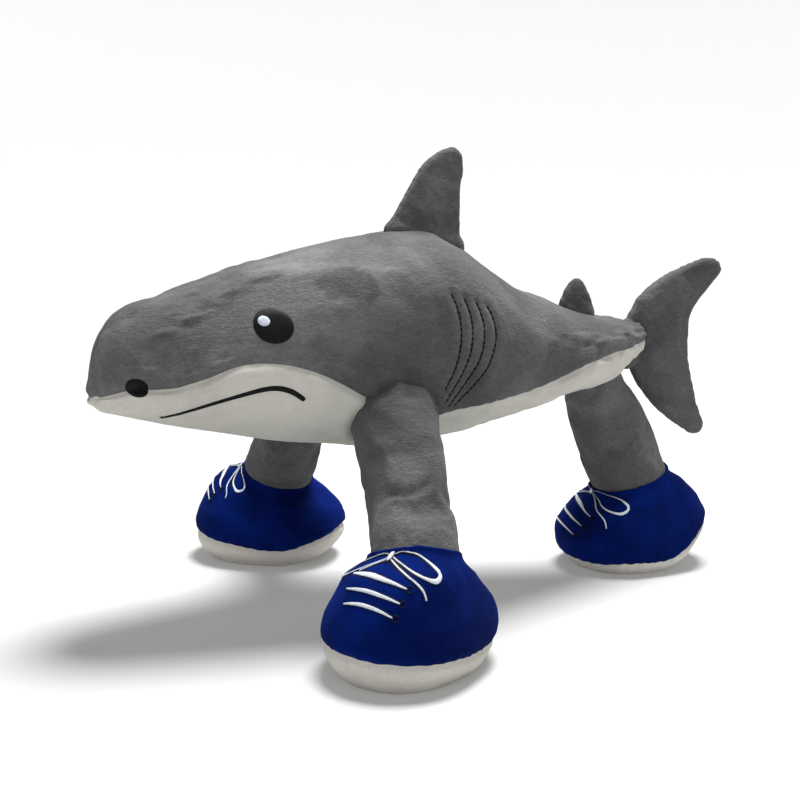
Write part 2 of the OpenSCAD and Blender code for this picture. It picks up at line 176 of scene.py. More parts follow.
def normals_of(mesh):
    n = np.empty(len(mesh.vertices) * 3, np.float32)
    mesh.vertex_normals.foreach_get("vector", n)
    return n.reshape(-1, 3).astype(float)


def raise_points(obj, height):
    """Moves every point out along its normal."""
    points = points_of(obj.data) + normals_of(obj.data) * np.reshape(height, (-1, 1))
    move_points(obj, points)


def bake(obj):
    """Turns an object's modifiers into mesh."""
    graph = bpy.context.evaluated_depsgraph_get()
    mesh = bpy.data.meshes.new_from_object(obj.evaluated_get(graph), depsgraph=graph)
    obj.modifiers.clear()
    obj.data = mesh
    return obj


def subdivide(obj, levels=1):
    modifier = obj.modifiers.new("finer", "SUBSURF")
    modifier.levels = levels
    return bake(obj)


def grid_faces(rows, columns, closed=False):
    i, j = np.meshgrid(
        np.arange(rows - 1), np.arange(columns if closed else columns - 1), indexing="ij"
    )
    a, b = i * columns + j, i * columns + (j + 1) % columns
    return np.stack([a, a + columns, b + columns, b], axis=-1).reshape(-1, 4)


def grid_normals(grid, closed=True):
    """Outward normals of a grid of points whose columns run round it."""
    along = np.gradient(grid, axis=0)
    if closed:
        around = np.roll(grid, -1, axis=1) - np.roll(grid, 1, axis=1)
    else:
        around = np.gradient(grid, axis=1)
    normals = np.cross(along, around)
    outward = grid - grid.mean(axis=1, keepdims=True)
    flip = np.sign((normals * outward).sum(axis=-1, keepdims=True).mean())
    return flip * unit(normals + 1e-15)


def cut(obj, point, normal):
    """Removes what lies on the side of a plane that its normal points to."""
    bm = bmesh.new()
    bm.from_mesh(obj.data)
    geometry = [*bm.verts, *bm.edges, *bm.faces]
    bmesh.ops.bisect_plane(
        bm, geom=geometry, plane_co=point, plane_no=normal, clear_outer=True
    )
    bm.to_mesh(obj.data)
    bm.free()
    return obj


def fused(name, meshes, balls, voxel):
    """One smooth closed skin around meshes and (centre, radius) balls."""
    bm = bmesh.new()
    for mesh in meshes:
        bm.from_mesh(mesh)
    for centre, radius in balls:
        place = Matrix.Translation(centre)
        bmesh.ops.create_uvsphere(
            bm, u_segments=32, v_segments=20, radius=radius, matrix=place
        )
    mesh = bpy.data.meshes.new(name)
    bm.to_mesh(mesh)
    bm.free()
    obj = add_mesh(name, mesh)
    remesh = obj.modifiers.new("skin", "REMESH")
    remesh.mode = "VOXEL"
    remesh.voxel_size = voxel
    smooth = obj.modifiers.new("smooth", "SMOOTH")
    smooth.iterations = 6
    bake(obj)
    obj.data.polygons.foreach_set("use_smooth", np.ones(len(obj.data.polygons), bool))
    return obj


def relax(obj, held, pressure=4.0, slack=0.02, cap=2 * MM, frames=16):
    """Lets a cover settle over its filling like cloth, by no more than cap.

    held is how firmly each point stays put, from 0 to 1.
    """
    rest = points_of(obj.data)
    group = obj.vertex_groups.new(name="held")
    for index in np.flatnonzero(held > 0.01):
        group.add([int(index)], float(held[index]), "REPLACE")
    cloth = obj.modifiers.new("cloth", "CLOTH")
    cloth.settings.vertex_group_mass = group.name
    cloth.settings.use_pressure = True
    cloth.settings.uniform_pressure_force = pressure
    cloth.settings.shrink_min = -slack
    cloth.settings.effector_weights.gravity = 0
    cloth.point_cache.frame_start = 1
    cloth.point_cache.frame_end = frames
    for number in range(1, frames + 1):
        bpy.context.scene.frame_set(number)
    bake(obj)
    obj.vertex_groups.clear()
    bpy.context.scene.frame_set(1)
    shift = points_of(obj.data) - rest
    length = np.linalg.norm(shift, axis=1, keepdims=True)
    move_points(obj, rest + shift * cap * np.tanh(length / cap) / np.maximum(length, 1e-9))


def tree_of(*meshes):
    bm = bmesh.new()
    for mesh in meshes:
        bm.from_mesh(mesh)
    tree = BVHTree.FromBMesh(bm)
    bm.free()
    return tree


# ---- Pieces ----


def show(piece, *nodes, fill=None):
    """Puts a finished piece in place of CAD nodes, with the first one's finish."""
    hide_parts(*nodes)
    piece.data.materials.clear()
    piece.data.materials.append(FINISHES[SLOTS[nodes[0]]])
    return piece


def ride(piece, *nodes, fill=None):
    """Shows a piece that moves with the body of the nodes it stands for."""
    show(piece, *nodes, fill=fill)
    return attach(piece, BODY_OF[nodes[0]])


# ---- Materials ----


def node_maker(material):
    """A function that adds a node to a material and sets its inputs or links."""
    tree = material.node_tree

    def add(kind, inputs=None, **settings):
        node = tree.nodes.new(kind)
        for name, value in settings.items():
            setattr(node, name, value)
        for name, value in (inputs or {}).items():
            if isinstance(value, bpy.types.NodeSocket):
                tree.links.new(value, node.inputs[name])
            else:
                node.inputs[name].default_value = value
        return node

    return add


def new_material(name):
    material = bpy.data.materials.new(name)
    material.use_nodes = True
    return material, material.node_tree.nodes["Principled BSDF"], node_maker(material)


def grey(value):
    return (value, value, value, 1)


def noise(add, where, size, detail=2.0, roughness=0.5):
    inputs = {
        "Vector": where,
        "Scale": 1 / size,
        "Detail": detail,
        "Roughness": roughness,
    }
    return add("ShaderNodeTexNoise", inputs).outputs["Fac"]


def ranged(add, value, low, high, to_low, to_high, smooth=True):
    inputs = {
        "Value": value,
        "From Min": low,
        "From Max": high,
        "To Min": to_low,
        "To Max": to_high,
    }
    how = "SMOOTHSTEP" if smooth else "LINEAR"
    return add("ShaderNodeMapRange", inputs, interpolation_type=how).outputs["Result"]


def maths(add, operation, a, b):
    node = add("ShaderNodeMath", {0: a, 1: b}, operation=operation)
    return node.outputs["Value"]


def spot(add, where, centre, size):
    """1 in the middle of a rounded patch of a mesh, falling to 0 at its edge."""
    away = add(
        "ShaderNodeVectorMath",
        {0: where, 1: centre},
        operation="SUBTRACT",
    ).outputs["Vector"]
    scaled = add(
        "ShaderNodeVectorMath",
        {0: away, 1: [1 / side for side in size]},
        operation="MULTIPLY",
    ).outputs["Vector"]
    length = add("ShaderNodeVectorMath", {0: scaled}, operation="LENGTH")
    return ranged(add, length.outputs["Value"], 0.75, 1.15, 1, 0)


def plush(name, colour, pile, patches, grain, stroke=45 * MM, marks=()):
    """Short-pile cloth, with patches where the pile was stroked another way.

    grain is the strength of the fine streaks, and marks are (centre, size, gain)
    patches at set places: some are pile that lies another way, some are painted shade.
    """
    material, shader, add = new_material(name)
    tree = material.node_tree
    where = add("ShaderNodeTexCoord").outputs["Object"]
    warp = add(
        "ShaderNodeTexNoise", {"Vector": where, "Scale": 1 / (16 * MM), "Detail": 3.0}
    ).outputs["Color"]
    swept = add(
        "ShaderNodeVectorMath",
        {0: warp, 1: (0.022, 0.022, 0.022), 2: where},
        operation="MULTIPLY_ADD",
    ).outputs["Vector"]
    combed = add(
        "ShaderNodeVectorMath", {0: where, 1: (0.45, 1.0, 1.0)}, operation="MULTIPLY"
    ).outputs["Vector"]
    tone = ranged(add, noise(add, swept, stroke), 0.42, 0.58, 1 - patches, 1 + patches)
    layers = (
        (noise(add, swept, 2.3 * stroke), 0.35, 0.65, 1.1 * patches),
        (noise(add, swept, 0.45 * stroke), 0.4, 0.6, 0.5 * patches),
        (noise(add, combed, 1.5 * MM, 3.0, 0.7), 0.25, 0.75, 0.14 * grain),
        (noise(add, combed, 0.5 * MM), 0.2, 0.8, 0.12 * grain),
    )
    for value, low, high, gain in layers:
        layer = ranged(add, value, low, high, 1 - gain, 1 + gain)
        tone = maths(add, "MULTIPLY", tone, layer)
    # Patches at set places: pile that lies another way, and painted shade
    for centre, size, gain in marks:
        bent = [c * MM + 0.011 for c in centre]
        mark = spot(add, swept, bent, [side * MM for side in size])
        tone = maths(add, "MULTIPLY", tone, ranged(add, mark, 0, 1, 1, gain))
    tint = add("ShaderNodeVectorMath", {0: colour, "Scale": tone}, operation="SCALE")
    tree.links.new(tint.outputs["Vector"], shader.inputs["Base Color"])
    depth = maths(
        add,
        "ADD",
        noise(add, combed, 1.3 * MM, 3.0, 0.65),
        maths(add, "MULTIPLY", noise(add, combed, 0.5 * MM), 0.45),
    )
    bump = add("ShaderNodeBump", {"Height": depth, "Distance": pile, "Strength": 0.8})
    tree.links.new(bump.outputs["Normal"], shader.inputs["Normal"])
    shader.inputs["Roughness"].default_value = 0.95
    shader.inputs["Specular IOR Level"].default_value = 0.04
    shader.inputs["Sheen Weight"].default_value = 0.08 * grain
    shader.inputs["Sheen Roughness"].default_value = 0.4
    shader.inputs["Sheen Tint"].default_value = (*(c / max(colour) for c in colour), 1)
    return material


def thread(name, colour, gloss):
    """Embroidery thread, laid in fine rows across the stroke, with painted shade between the rows."""
    material, shader, add = new_material(name)
    tree = material.node_tree
    where = add("ShaderNodeTexCoord").outputs["UV"]
    wobble = noise(add, where, 1.2 * MM)
    rows = add(
        "ShaderNodeTexWave",
        {"Vector": where, "Scale": 1 / (2.2 * MM), "Distortion": 0.6, "Detail": 1.0},
        wave_type="BANDS",
        bands_direction="X",
    ).outputs["Fac"]
    # Darker in the grooves between rows of thread, where the bump sinks, and a little lighter on their crests:
    # painted shade and painted sheen
    shade = ranged(add, rows, 0, 1, 0.75, 1.08)
    tone = maths(add, "MULTIPLY", shade, ranged(add, wobble, 0.3, 0.7, 0.9, 1.08))
    tint = add("ShaderNodeVectorMath", {0: colour, "Scale": tone}, operation="SCALE")
    tree.links.new(tint.outputs["Vector"], shader.inputs["Base Color"])
    bump = add("ShaderNodeBump", {"Height": rows, "Distance": 0.12 * MM, "Strength": 0.7})
    tree.links.new(bump.outputs["Normal"], shader.inputs["Normal"])
    shader.inputs["Roughness"].default_value = gloss
    shader.inputs["Specular IOR Level"].default_value = 0.12
    return material


# Patches of the grey pile at set places: centre, size and gain. The first three are on the
# back, where the pile lies another way; the last is painted shade on the lower flank where
# the top of the front left leg meets the body
PILE_AND_SHADE_PATCHES = (
    ((-66, -38, 163), (15, 14, 8), 0.66),
    ((-89, -17, 173), (24, 16, 12), 1.25),
    ((-42, -33, 173), (17, 16, 8), 1.22),
    # Painted shade where the top of the front left leg meets the body
    ((-60, -50, 120), (26, 20, 16), 0.84),
)
FINISHES = {
    "grey_plush": plush(
        "grey_minky", (0.094, 0.092, 0.094), 0.9 * MM, 0.13, 1.1, marks=PILE_AND_SHADE_PATCHES
    ),
    "white_plush": plush("white_minky", (0.47, 0.46, 0.42), 0.4 * MM, 0.03, 0.25),
    "blue_fabric": plush("blue_velboa", (0.0003, 0.006, 0.07), 0.45 * MM, 0.18, 0.5, 30 * MM),
    "sole_fabric": plush("sole_minky", (0.52, 0.5, 0.46), 0.5 * MM, 0.04, 0.4),
    "black_thread": thread("black_rayon", (0.004, 0.004, 0.0045), 0.55),
    "white_thread": thread("white_rayon", (0.6, 0.64, 0.72), 0.5),
}


# ---- Body ----

# Steps of the skin between two rings and between two columns of the filling
BODY_STEPS = 10
left_seam = BACK_COLUMNS * BODY_STEPS


def filling_rings(node):
    """Rings of a body's filling from nose to tail, each run round from the top."""
    points = np.unique(points_of(frame["nodes"][node].data), axis=0)
    stations = np.round(points[:, 0], 5)
    rings = []
    for station in np.unique(stations):
        ring = points[stations == station]
        middle = (ring[:, 2].max() + ring[:, 2].min()) / 2
        turn = np.degrees(np.arctan2(ring[:, 2] - middle, -ring[:, 1]))
        rings.append(ring[np.argsort((90.01 - turn) % 360)])
    return np.array(rings)


def settled(grid, held, **options):
    """A closed grid of points after its cloth has relaxed."""
    rows, columns = grid.shape[:2]
    obj = add_object("relaxing", grid.reshape(-1, 3), grid_faces(rows, columns, True))
    relax(obj, held.ravel(), **options)
    points = points_of(obj.data).reshape(grid.shape)
    bpy.data.objects.remove(obj)
    return points


def body_grid():
    """The relaxed skin of the body before its details, and its normals.

    The cloth is held along the top of the back and along both colour seams.
    """
    rings = filling_rings("body_stuffing")
    coarse = smooth_table(smooth_table(rings, 2).swapaxes(0, 1), 2, closed=True)
    coarse = coarse.swapaxes(0, 1)
    coarse = coarse + COVER * grid_normals(coarse)
    rows, columns = coarse.shape[:2]
    held = np.zeros((rows, columns))
    held[:, [0, 2 * BACK_COLUMNS, columns - 2 * BACK_COLUMNS]] = 1
    held[[0, -1]] = 1
    coarse = settled(coarse, held, pressure=3.0, slack=0.015, cap=1.1 * MM)
    finer = BODY_STEPS // 2
    skin = smooth_table(smooth_table(coarse, finer).swapaxes(0, 1), finer, closed=True)
    skin = skin.swapaxes(0, 1)
    return skin, grid_normals(skin)


def box_point(node, across, up):
    """Place on the side view at parts of a node's box: (X, Z)."""
    low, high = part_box(node)
    return np.array([low.x + across * (high.x - low.x), low.z + up * (high.z - low.z)])


# Points of the mouth, as parts of its node's box on the side view, and widths in mm
MOUTH = [
    (0.01, 0.02, 0.9),
    (0.25, 0.4, 1.6),
    (0.52, 0.76, 2.1),
    (0.73, 0.97, 2.6),
    (0.87, 0.87, 2.8),
    (0.985, 0.54, 2.4),
]
# Gill lines: top, the point the line bows towards and bottom, in millimetres
GILLS = [
    [(-18, 157.9), (-10, 138.4), (-22.7, 112.6)],
    [(-11.6, 155.8), (-2.5, 134.5), (-22.4, 104.6)],
    [(-5.2, 153.7), (5.5, 133.5), (-19.6, 103.4)],
    [(1.2, 151.6), (13.5, 131.5), (-15.5, 103.6)],
]


def gill_path(gill, count):
    """Points along a gill line, which bows like a bent thread."""
    top, bow, foot = np.array(gill) * MM
    t = np.linspace(0, 1, count)[:, None]
    return (1 - t) ** 2 * top + 2 * t * (1 - t) * bow + t**2 * foot


def line_distance(places, lines):
    """Distance of side-view places from the nearest of some dense lines."""
    spots = np.concatenate(lines)
    near = np.full(len(places), 1.0)
    for start in range(0, len(places), 4000):
        block = places[start : start + 4000, None] - spots[None]
        near[start : start + 4000] = np.sqrt((block**2).sum(axis=-1).min(axis=1))
    return near


def leg_line(leg):
    """The middles of a leg's hip seam and ankle seam."""
    return (
        np.array(JOINTS[leg + "_hip"]["pos_m"]),
        np.array(JOINTS[leg + "_ankle"]["pos_m"]),
    )


# How far each leg's top is drawn into the body, where the cloth is sewn together
SEATS = {
    "front_left": np.array((9.5, 21, -3.6)) * MM,
    "front_right": np.array((-4, -20, -3.6)) * MM,
    "rear": np.zeros(3),
}


def mouth_line():
    """Points along one side's mouth on the side view, each with a width."""
    path = [(*box_point("mouth_embroidery", x, z), w * MM) for x, z, w in MOUTH]
    return path_points(path, 90)


# Radius of a leg's cover
LEG_RADIUS = 19.5 * MM
# Places along the top of the body that are pressed in or, if negative, stand out:
# place along X, reach and depth, in millimetres
PRESSED = [(-127, 24, 3), (54, 15, -1.8)]


def seam_height(skin, column, depth):
    """Height of a sunk seam along one column, with the puckers beside it."""
    run = skin[:, :, 0]
    away = np.linalg.norm(skin - skin[:, column : column + 1], axis=-1)
    ripple = np.sin(run / (1.25 * MM) + 3 * lumps(skin, 20 * MM, 4 + column))
    height = -depth * ridge(away, 1.7 * MM)
    height += 0.35 * depth * ridge(away - 5 * MM, 4 * MM)
    return height + 0.16 * depth * ripple * ridge(away, 5 * MM)


def stitch_height(skin):
    """Height of the cloth that the gill lines and the mouth pull in."""
    side = skin[:, :, [0, 2]].reshape(-1, 2)
    gills = [gill_path(gill, 60) for gill in GILLS]
    near = line_distance(side, gills).reshape(skin.shape[:2])
    height = -1.1 * MM * ridge(near, 1.2 * MM)
    height += 0.3 * MM * ridge(near - 3.4 * MM, 1.6 * MM)
    near = line_distance(side, [mouth_line()[:, :2]]).reshape(skin.shape[:2])
    return height - 0.6 * MM * ridge(near, 2.2 * MM)


def hip_height(skin):
    """Height of the creases where the legs are sewn on, and of the cloth round them."""
    height = 0
    for leg in LEGS:
        hip, ankle = leg_line(leg)
        gap = axis_distance(skin, hip + SEATS[leg], ankle) - LEG_RADIUS
        height = height - 1.2 * MM * ridge(gap, 2 * MM)
        height += 1.2 * MM * ridge(gap - 5 * MM, 5 * MM)
    return height


def body_details(skin, normals):
    """The body's skin with its seams, tucks, creases and lumps."""
    columns = skin.shape[1]
    run = skin[:, :, 0]
    height = 0.5 * MM * lumps(skin, 42 * MM, 1) + 0.2 * MM * lumps(skin, 15 * MM, 2)
    height += 0.12 * MM * lumps(skin, 2.6 * MM, 3)
    for column, depth in ((0, 0.5), (left_seam, 1.2), (columns - left_seam, 1.2)):
        height += seam_height(skin, column, depth * MM)
    height += stitch_height(skin)
    turn = np.arange(columns) / columns * 2 * math.pi
    gather = np.sin(13 * turn + 3 * lumps(skin, 25 * MM, 6))
    height += 0.35 * MM * gather * ramp(run, 96 * MM, 113 * MM)
    height += hip_height(skin)
    crown = ramp(normals[..., 2], 0.2, 0.9)
    for place, reach, depth in PRESSED:
        height -= depth * MM * ridge(run - place * MM, reach * MM) * crown
    return skin + normals * height[..., None]


def capped(grid, nose, tail):
    """A grid with rounded ends: rings that close to a point past each end."""
    for end, inside, reach in ((0, 1, nose), (-1, -2, tail)):
        ring, centre = grid[end], grid[end].mean(axis=0)
        out = unit(centre - grid[inside].mean(axis=0)) * reach
        rings = [
            centre + (ring - centre) * math.cos(a) + out * math.sin(a)
            for a in np.radians((30, 60, 80))
        ]
        grid = np.concatenate([rings[::-1], grid] if end == 0 else [grid, rings])
    return grid


def panel(name, grid, first, last):
    """Part of the body's skin between two columns, closed to a point at each end."""
    columns = np.arange(first, last + 1) % grid.shape[1]
    part = grid[:, columns]
    rows, count = part.shape[:2]
    tips = [grid[0].mean(axis=0), grid[-1].mean(axis=0)]
    vertices = np.concatenate([part.reshape(-1, 3), tips])
    faces = grid_faces(rows, count).tolist()
    nose, tail = rows * count, rows * count + 1
    base = (rows - 1) * count
    for j in range(count - 1):
        faces.append((nose, j, j + 1))
        faces.append((tail, base + j + 1, base + j))
    return add_object(name, vertices, faces, grid.reshape(-1, 3).mean(axis=0))


skin, skin_normals = body_grid()
skin = capped(body_details(skin, skin_normals), 2.5 * MM, 8 * MM)
around = skin.shape[1]
ride(panel("back_left_skin", skin, 0, left_seam), "back_panel_left", fill=0.9)
ride(
    panel("back_right_skin", skin, around - left_seam, around), "back_panel_right", fill=0.9
)
ride(
    panel("belly_skin", skin, left_seam, around - left_seam),
    "belly_panel",
    "body_stuffing",
    fill=0.9,
)
whole_body = add_object(
    "whole_body", skin.reshape(-1, 3), grid_faces(*skin.shape[:2], True)
)
body_tree = tree_of(whole_body.data)
bpy.data.objects.remove(whole_body)


# ---- Fins ----


def fin(name, nodes, root, spread, blend_line, puff):
    """A stuffed fin of two panels, whose root goes into the body.

    nodes are its left panel, right panel and filling. root and spread are where its
    root's balls lie: points along its base, with a radius each.
    """
    left, right, filling = nodes
    obj = fused(name, [frame["nodes"][filling].data], root, 1.5 * MM)
    raise_points(obj, COVER)
    points = points_of(obj.data)
    held = ramp(spread - points @ blend_line[2], 0, 4 * MM)
    held = np.maximum(held, ridge(points[:, 1], 1.2 * MM))
    relax(obj, held, pressure=puff, slack=0.02, cap=1.0 * MM, frames=10)
    subdivide(obj)
    points = points_of(obj.data)
    seam = ridge(points[:, 1], 0.9 * MM)
    ripple = np.sin(points[:, 2] / (1.1 * MM)) * ridge(points[:, 1], 2 * MM)
    height = 0.35 * MM * lumps(points, 16 * MM, 11) - 0.6 * MM * seam + 0.06 * MM * ripple
    height += 0.1 * MM * lumps(points, 2.4 * MM, 12)
    raise_points(obj, height)
    for side, node, covered in (("left", left, (left, filling)), ("right", right, (right,))):
        half = add_mesh(f"{name}_{side}_skin", obj.data.copy())
        cut(half, (0, 0, 0), (0, -SIDES[side], 0))
        show(half, *covered, fill=0.8)
        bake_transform(half)
    bpy.data.objects.remove(obj)


def fin_nodes(stem):
    return stem + "_left_panel", stem + "_right_panel", stem + "_stuffing"


def back_height(x):
    return body_tree.ray_cast(Vector((x, 0, 1)), Vector((0, 0, -1)))[0].z


def back_root(filling, radius, sunk, balls=9):
    """Balls along the base of a fin on the back, sunk into the body."""
    low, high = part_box(filling)
    rows = np.linspace(low.x + radius, high.x - radius, balls)
    return [(Vector((x, 0, back_height(x) - sunk)), radius) for x in rows]


UP = np.array((0.0, 0.0, 1.0))
for stem, body, radius in (
    ("dorsal_fin", "dorsal_fin", 5 * MM),
    ("rear_dorsal", "rear_dorsal_fin", 3.4 * MM),
):
    hinge = Vector(JOINTS[body + "_flex"]["pos_m"])
    filling = stem + "_stuffing"
    roots = [ball for sunk in (0, 4 * MM) for ball in back_root(filling, radius, sunk)]
    line = (hinge - Vector((0, 0, 2 * MM)), hinge + Vector((0, 0, 10 * MM)), UP)
    fin(stem, fin_nodes(stem), roots, hinge.z + 4 * MM, line, 2.0)

# Balls above and below the tail's root: along X and up from the hinge, and radius
TAIL_ROOT = [
    (-4.5, 17.5, 2.6),
    (-1, 20.5, 3.2),
    (3, 24.5, 4),
    (-5, -4, 3),
    (-1, -9, 3.6),
]
hinge = Vector(JOINTS["tail_fin_sway"]["pos_m"])
roots = [
    (Vector((hinge.x - 9 * MM, 0, hinge.z + 3 * MM + 7 * MM * m)), (6.5 - m * m) * MM)
    for m in np.linspace(-1, 1, 7)
]
roots += [(hinge + Vector((x, 0, z)) * MM, radius * MM) for x, z, radius in TAIL_ROOT]
BACK = np.array((1.0, 0.0, 0.0))
line = (hinge - Vector((8 * MM, 0, 0)), hinge + Vector((8 * MM, 0, 0)), BACK)
fin("tail_fin", fin_nodes("tail_fin"), roots, hinge.x + 2 * MM, line, 2.0)


# ---- Legs ----


def hip_balls(leg):
    """Balls that carry a leg's wide top into the body."""
    hip, ankle = leg_line(leg)
    axis = unit(hip - ankle)
    radius = LEG_RADIUS - COVER
    if leg == "rear":
        inward, thin, above = 19 * MM * axis, 3 * MM, ()
    else:
        inward, thin, above = np.array((9, -26 * np.sign(hip[1]), 5)) * MM, 7 * MM, (3, 6, 9)
    balls = [(Vector(hip + inward * t), radius - thin * t**2) for t in np.linspace(0, 1, 7)]
    return balls + [(Vector(hip + axis * up * MM), radius) for up in above]


# Soft dents of a leg: height along it, place across it, and size, in millimetres
DENTS = [(43, 4, 9), (48, -7, 7), (17, 9, 8)]


# Direction across a leg in which its dents are placed, along X and Y
DENT_ACROSS = (0.91, -0.41)


def leg_dents(points, hip, ankle):
    """Depth of the dents and of the curved crease in a leg's sides."""
    axis = unit(hip - ankle)
    along = (points - ankle) @ axis
    off = points - ankle - along[:, None] * axis
    across = off[:, 0] * DENT_ACROSS[0] + off[:, 1] * DENT_ACROSS[1]
    crease = along - 27 * MM - across**2 / (30 * MM)
    middle = ramp(-np.abs(across - 2 * MM), -13 * MM, -8 * MM)
    depth = 1.3 * MM * ridge(crease, 2.6 * MM) * middle
    for up, place, size in DENTS:
        away = np.hypot(along - up * MM, across - place * MM)
        depth += 1.1 * MM * ridge(away, size * MM)
    return depth


# Thickness of each leg at heights along it in millimetres, as a part of the CAD's
LEG_HEIGHTS = (0, 25, 42, 64)
LEG_GIRTHS = {
    "front_left": (1, 0.97, 0.98, 1.08),
    "front_right": (1, 0.97, 0.98, 1.08),
    "rear": (1.07, 1.04, 0.96, 0.93),
}


def leg_skin(leg):
    """A leg's cover: its filling's skin, drawn in at the hip, relaxed and dented."""
    hip, ankle = leg_line(leg)
    axis = unit(hip - ankle)
    filling = frame["nodes"][leg + "_leg_stuffing"].data
    obj = fused(leg + "_leg_skin", [filling], hip_balls(leg), 2.2 * MM)
    raise_points(obj, COVER)
    points = points_of(obj.data)
    along = (points - ankle) @ axis
    foot = ankle + along[:, None] * axis
    girth = np.interp(along, np.array(LEG_HEIGHTS) * MM, LEG_GIRTHS[leg])
    points = foot + (points - foot) * girth[:, None]
    drawn = np.clip(along / np.linalg.norm(hip - ankle), 0, 1.4)[:, None]
    points += drawn * SEATS[leg]
    move_points(obj, points)
    if leg == "rear":
        inside = points[:, 2] > hip[2] + 24 * MM
    else:
        inside = np.abs(points[:, 1]) < abs(hip[1]) - 22 * MM
    held = np.maximum(1 - ramp(along, 0, 8 * MM), inside)
    relax(obj, held, pressure=2.5, slack=0.04, cap=1.8 * MM)
    subdivide(obj)
    points = points_of(obj.data)
    along = (points - ankle) @ axis
    height = 0.9 * MM * lumps(points, 19 * MM, 21) + 0.35 * MM * lumps(points, 8 * MM, 22)
    height += 0.12 * MM * lumps(points, 2.4 * MM, 23)
    height -= leg_dents(points, hip, ankle)
    height *= ramp(along, 2 * MM, 10 * MM)
    raise_points(obj, height)
    cut(obj, Vector(ankle - 8 * MM * axis), Vector(-axis))
    return obj


leg_trees = {}
for leg in LEGS:
    skin_piece = leg_skin(leg)
    leg_trees[leg] = tree_of(skin_piece.data)
    show(skin_piece, leg + "_leg_sleeve", leg + "_leg_stuffing", fill=0.85)
    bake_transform(skin_piece)


# ---- Shoes ----

SHOE_COLUMNS = 216
SOLE_TOP = 12 * MM
# Distance from a shoe's axis that is farther out than any of its fabric
OUTSIDE = 0.1
turns = np.linspace(0, 2 * math.pi, SHOE_COLUMNS, endpoint=False)


def blurred(table, columns, rows=0):
    """A table smoothed round its columns, and along its rows."""
    for step in range(columns):
        table = (np.roll(table, 1, -1) + 2 * table + np.roll(table, -1, -1)) / 4
    for step in range(rows):
        inner = (table[:-2] + 2 * table[1:-1] + table[2:]) / 4
        table = np.concatenate([table[:1], inner, table[-1:]])
    return table


# Height of the sole's edge at the sides, its rise at the toe and at the heel, and
# how far the underside of the heel is off the floor, in millimetres
SOLE_SHAPES = {
    "front_left": (10, 5, 5, 1),
    "front_right": (10, 6, 6, 4),
    "rear": (7, -2, 18, 12),
}


